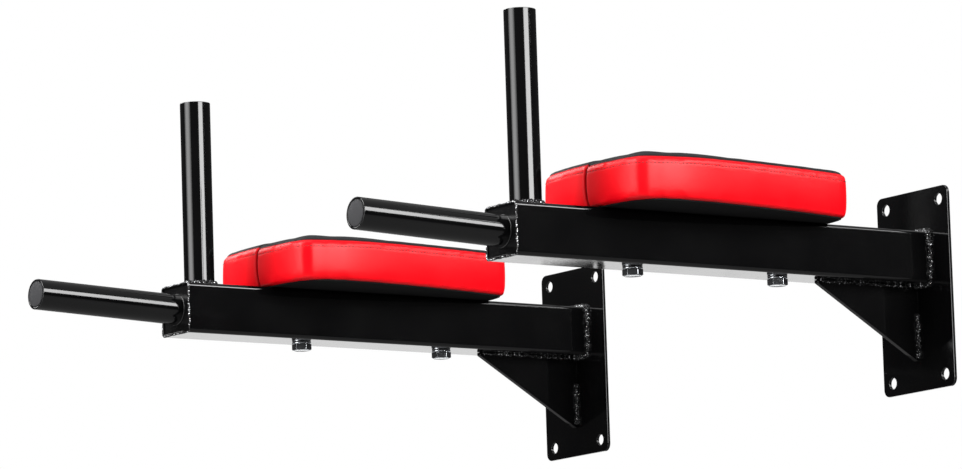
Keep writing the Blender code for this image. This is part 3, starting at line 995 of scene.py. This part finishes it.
def sew(bm):
    """Draws the cover in at the seam, along the stitches and at the join, and folds it at the
    front corners, where it is pulled round the foam. How far it is drawn is in millimetres."""
    cut_for_sewing(bm)
    # Painted shade that darkens the cover's colour in the top seam and the join
    seam_shade = bm.verts.layers.float.new("seam_shade")
    for vert in bm.verts:
        x, y, z = vert.co
        run, out, inside = at_edge(x, y)
        if z < PAD_BOTTOM + 1.5 * MM or inside > 26 * MM:
            continue
        drift = noise.noise((run * 40, z * 30, 0))
        side = hill(max(0.0, inside - 5 * MM), 6 * MM)
        height = max(0.0, min(1.0, (z - PAD_BOTTOM) / BAND_HEIGHT))

        # The seam and the stitched channel, both puckered, and the cloth eased in beside them
        pucker = 1 + 0.1 * math.sin(2 * math.pi * run / (9 * MM) + 3 * drift)
        seam = 1.0 * hill(z - BAND_TOP, 1.4 * MM)
        wave = math.sin(2 * math.pi * run / (12 * MM) + 5 * drift)
        ease = 0.08 * hill(z - BAND_TOP, 5 * MM) * wave
        draw = (seam * pucker + ease) * side
        draw += 0.16 * hill(z - STITCH_LINE, 0.9 * MM) * pucker * side
        # Painted shade along the top seam
        vert[seam_shade] = 0.8 * hill(z - BAND_TOP, 0.9 * MM) * side

        # The side leans in below, where the cover is pulled under the board.
        draw += 4 * max(0.0, 0.6 - height) ** 2 * min(1.0, height / 0.12) * side

        # The join, with a lip of cloth beside it
        if x > PAD_FRONT - 25 * MM and z < BAND_TOP:
            across = y - JOIN_PLACE
            join = hill(across, 0.7 * MM)
            lip = hill(across + 2.6 * MM, 1.1 * MM)
            draw += 2.6 * join + 0.8 * hill(across, 3 * MM) - 0.5 * lip
            # Painted shade darkens the cover along the join.
            vert[seam_shade] = max(vert[seam_shade], join)
            vert.co.y -= JOIN_BOW * hill(across, 14 * MM) * math.sin(math.pi * height)

        # Folds round the front corners, of which the far one is softer
        for corner in (CORNER_RUN, FAR_CORNER_RUN):
            offset = run - corner
            fold = math.cos(2 * math.pi * offset / (19 * MM) + drift)
            draw -= 0.25 * hill(offset, 20 * MM) * math.sin(math.pi * height) * fold * side
            if corner == FAR_CORNER_RUN:
                draw += (0.6 + 2.4 * height) * hill(offset, 26 * MM) * side
        vert.co -= out * draw * MM


def sewn_cover():
    """The covered and sewn pad, closed all round."""
    bm = bmesh.new()
    bm.from_mesh(swell(pad_blank()))
    sew(bm)
    return mesh_of(bm, "sewn cover")


COVER = sewn_cover()


def copy_of_cover():
    bm = bmesh.new()
    bm.from_mesh(COVER)
    return bm


def step_seam(bm):
    """Lets the top seam run lower from the join round the corner, and come up again towards
    the back, as this cover was sewn."""
    for vert in bm.verts:
        run, _, inside = at_edge(vert.co.x, vert.co.y)
        if JOIN_PLACE - MM < run < SEAM_STEP_RUN and vert.co.z > PAD_BOTTOM + 8 * MM:
            begun = max(0.0, min(1.0, (run - JOIN_PLACE) / (2 * MM) + 0.5))
            left = 1 - max(0.0, run - CORNER_RUN) / (SEAM_STEP_RUN - CORNER_RUN)
            near = hill(vert.co.z - BAND_TOP, 12 * MM) * hill(max(0.0, inside - 6 * MM), 12 * MM)
            vert.co.z -= SEAM_STEP * begun * left * near


def part_of_cover(keep_top):
    """The cover above or below the top seam, closed where it was cut."""
    bm = copy_of_cover()
    cut = bmesh.ops.bisect_plane(
        bm,
        geom=bm.verts[:] + bm.edges[:] + bm.faces[:],
        dist=CUT_REACH,
        plane_co=(0, 0, BAND_TOP),
        plane_no=(0, 0, 1),
        clear_inner=keep_top,
        clear_outer=not keep_top,
    )
    rim = [part for part in cut["geom_cut"] if isinstance(part, bmesh.types.BMEdge)]
    bmesh.ops.holes_fill(bm, edges=rim)
    bmesh.ops.recalc_face_normals(bm, faces=bm.faces)
    step_seam(bm)
    return bm


def red_band():
    return part_of_cover(False)


def black_top():
    return part_of_cover(True)


def stitching():
    """Thread that shows as a row of short stitches in its channel below the top seam."""
    tree = BVHTree.FromBMesh(copy_of_cover())
    row = [Vector((point.x, point.y, STITCH_LINE)) for point in pad_outline()]
    spaced, _ = evenly(row, STITCH_PITCH, True)
    up = Vector((0, 0, 1))
    size = Matrix.Diagonal((STITCH_LENGTH / 2, STITCH_THICKNESS / 2, STITCH_THICKNESS / 2, 1))
    bm = bmesh.new()
    for point, _ in spaced:
        out = at_edge(point.x, point.y)[1]
        hit = tree.ray_cast(point + out * 30 * MM, -out)[0]
        if hit is None:
            continue
        turn = Matrix((out.cross(up), out, up)).transposed().to_4x4()
        bmesh.ops.create_uvsphere(
            bm,
            u_segments=6,
            v_segments=5,
            radius=1.0,
            matrix=Matrix.Translation(hit + out * 0.12 * MM) @ turn @ size,
        )
    step_seam(bm)
    return bm


# Putting it together

put_on_arms("plate", wall_plate, PAINT, ["wall_plate"], even=True)
put_on_arms("square_tube", arm_tube, PAINT, ["arm_tube"], even=True)
put_on_arms("inset_end_plate", end_plate, SPATTERED_PAINT, ["end_plate"], even=True)
put_on_arms("gusset_rib", gusset, PAINT, ["gusset"], even=True)
put_on_arms("upright_tube", upright_grip, PAINT, ["upright_grip"], even=True)
put_on_arms("forward_tube", forward_grip, PAINT, ["forward_grip"], even=True)
put_on_arms("upright_plug", upright_plug, PLASTIC, ["upright_grip_plug"])
put_on_arms("forward_plug", forward_plug, PLASTIC, ["forward_grip_plug"])
put_on_arms("plate_weld", plate_weld, BEAD, sharp=80)
put_on_arms("end_weld", end_weld, WORN_BEAD, sharp=80)
put_on_arms("upright_weld", upright_weld, BEAD, sharp=80)
put_on_arms("forward_weld", forward_weld, SPATTERED_PAINT, sharp=80)
put_on_arms("gusset_welds", gusset_welds, BEAD, sharp=80)
for bolt in BOLT_PLACES:
    put_on_arms(
        f"{bolt}_hex_bolt",
        lambda: hex_bolt(bolt),
        ZINC,
        [f"{bolt}_bolt"],
        sharp=20,
        even=True,
    )
    put_on_arms(
        f"{bolt}_flat_washer",
        lambda: flat_washer(bolt),
        ZINC,
        [f"{bolt}_washer"],
        even=True,
    )
for band in put_on_arms("red_band", red_band, RED, ["pad_band"], sharp=60):
    # The photo shows no red in the gloss of the steel beside it.
    band.visible_glossy = False
for top in put_on_arms("black_top", black_top, BLACK, ["pad_top"], sharp=60):
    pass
put_on_arms("stitching", stitching, THREAD, sharp=80)

for side in ARM_SIDES:
    bpy.data.objects[f"{side}_pad_board"].material_slots[0].material = LINING
    for bolt in BOLT_PLACES:
        bpy.data.objects[f"{side}_{bolt}_tee_nut"].material_slots[0].material = ZINC


# Studio

FLOOR_HEIGHT = -1.15
FLOOR_RADIUS = 9.0
ARMS_MIDDLE = Vector((0, -0.3, 0))
CAMERA_LENS = 238.4
CAMERA_PLACE = (4.9846, -3.8111, -0.8546)
CAMERA_TURNS = (98.417, 1.806, 55.197)

# Each softbox by its direction from the arms in degrees, anticlockwise from +X and up, its
# distance, width and height in metres, how bright its face is, and over what share of its
# width that fades out at each side
SOFTBOXES = [
    ("right softbox", 8, 17, 8.0, 5.1, 3.4, 15.0, 0.12),
    ("back right softbox", 32.2, 23.4, 8.2, 1.8, 3.0, 12.5, 0),
    ("back softbox", 57, 27, 8.0, 3.4, 2.8, 6.0, 0),
    ("front left softbox", -98, 11, 8.0, 7.1, 5.5, 6.2, 0.4),
    ("low back strip", 143, -7, 4.0, 3.4, 0.5, 1.3, 0),
    ("left softbox", -165, 30, 8.0, 4.0, 3.2, 6.5, 0),
    ("front key softbox", -105, 42, 8.0, 4.5, 4.5, 12.5, 0),
    ("top softbox", -60, 80, 6.4, 4.8, 4.8, 1.5, 0),
    ("low bounce", -90, -60, 1.2, 2.2, 1.2, 0.9, 0),
]


def pale_floor_paint():
    """Matt pale floor paint, lit evenly and washed out to white far from the arms."""
    material, tree, shader, place = new_material(
        "pale_floor_paint", Roughness=0.9, Specular_IOR_Level=0.1
    )
    reach = add_node(tree, "ShaderNodeVectorMath", {0: place}, operation="LENGTH").outputs["Value"]
    far = ranged(tree, reach, 0.0, 1.0, 2.0, 8.0)
    seen = add_node(tree, "ShaderNodeLightPath").outputs["Is Camera Ray"]
    unseen = ranged(tree, far, 0.2, 0.02)
    feed(
        tree,
        shader,
        Base_Color=mixed(tree, far, linear("#484848"), linear("#000000")),
        Emission_Color=mixed(tree, far, linear("#e2e2e2"), linear("#ffffff")),
        Emission_Strength=ranged(tree, seen, unseen, 1.0),
    )
    return material


def softbox(name, place, aim, width, height, glow, fade):
    """A white softbox that the camera itself doesn't see, dimmer at its sides if it fades."""
    data = bpy.data.lights.new(name, "AREA")
    data.shape = "RECTANGLE"
    data.size = width
    data.size_y = height
    data.energy = glow * math.pi * width * height
    if fade:
        data.use_nodes = True
        tree = data.node_tree
        across = add_node(tree, "ShaderNodeNewGeometry").outputs["Parametric"]
        share = add_node(tree, "ShaderNodeSeparateXYZ", {"Vector": across}).outputs["X"]
        off = add_node(tree, "ShaderNodeMath", {0: share, 1: 0.5}, operation="SUBTRACT")
        middle = add_node(tree, "ShaderNodeMath", {0: off.outputs["Value"]}, operation="ABSOLUTE")
        off_middle = middle.outputs["Value"]
        face = ranged(
            tree, off_middle, 0.25, 1.0, 0.5, 0.5 - fade, interpolation_type="SMOOTHSTEP"
        )
        feed(tree, tree.nodes["Emission"], Strength=face)
    light = linked(name, data)
    light.location = place
    towards = Vector(aim) - Vector(place)
    light.rotation_euler = towards.to_track_quat("-Z", "Y").to_euler()
    light.visible_camera = False


def studio():
    bm = bmesh.new()
    bmesh.ops.create_circle(bm, cap_ends=True, segments=96, radius=FLOOR_RADIUS)
    bmesh.ops.translate(bm, verts=bm.verts, vec=(0, 0, FLOOR_HEIGHT))
    floor = linked("studio_floor", mesh_of(bm, "studio_floor"))
    floor.data.materials.append(pale_floor_paint())

    for name, azimuth, elevation, distance, width, height, glow, fade in SOFTBOXES:
        turn, rise = math.radians(azimuth), math.radians(elevation)
        way = Vector(
            (math.cos(turn) * math.cos(rise), math.sin(turn) * math.cos(rise), math.sin(rise))
        )
        softbox(name, ARMS_MIDDLE + way * distance, ARMS_MIDDLE, width, height, glow, fade)

    world = bpy.data.worlds.new("white sweep")
    bpy.context.scene.world = world
    world.use_nodes = True
    tree = world.node_tree
    backdrop = tree.nodes["Background"]
    backdrop.inputs["Color"].default_value = (1.0, 1.0, 1.0, 1.0)
    seen = add_node(tree, "ShaderNodeLightPath").outputs["Is Camera Ray"]
    way = add_node(tree, "ShaderNodeTexCoord").outputs["Generated"]
    rise = add_node(tree, "ShaderNodeSeparateXYZ", {"Vector": way}).outputs["Z"]
    steep = add_node(tree, "ShaderNodeMath", {0: rise}, operation="ABSOLUTE").outputs["Value"]
    room = ranged(tree, steep, 0.02, 0.3, 0.1, 0.6)
    feed(tree, backdrop, Strength=ranged(tree, seen, room, 1.0))
    bpy.context.scene.view_settings.view_transform = "Standard"


def camera():
    """Stands to the right of the arms, a little below them, and looks up along them."""
    data = bpy.data.cameras.new("photo camera")
    data.sensor_width = 36.0
    data.lens = CAMERA_LENS
    data.clip_start = 0.1
    data.clip_end = 60.0
    obj = linked("photo camera", data)
    obj.location = CAMERA_PLACE
    obj.rotation_euler = [math.radians(turn) for turn in CAMERA_TURNS]
    bpy.context.scene.camera = obj


studio()
camera()
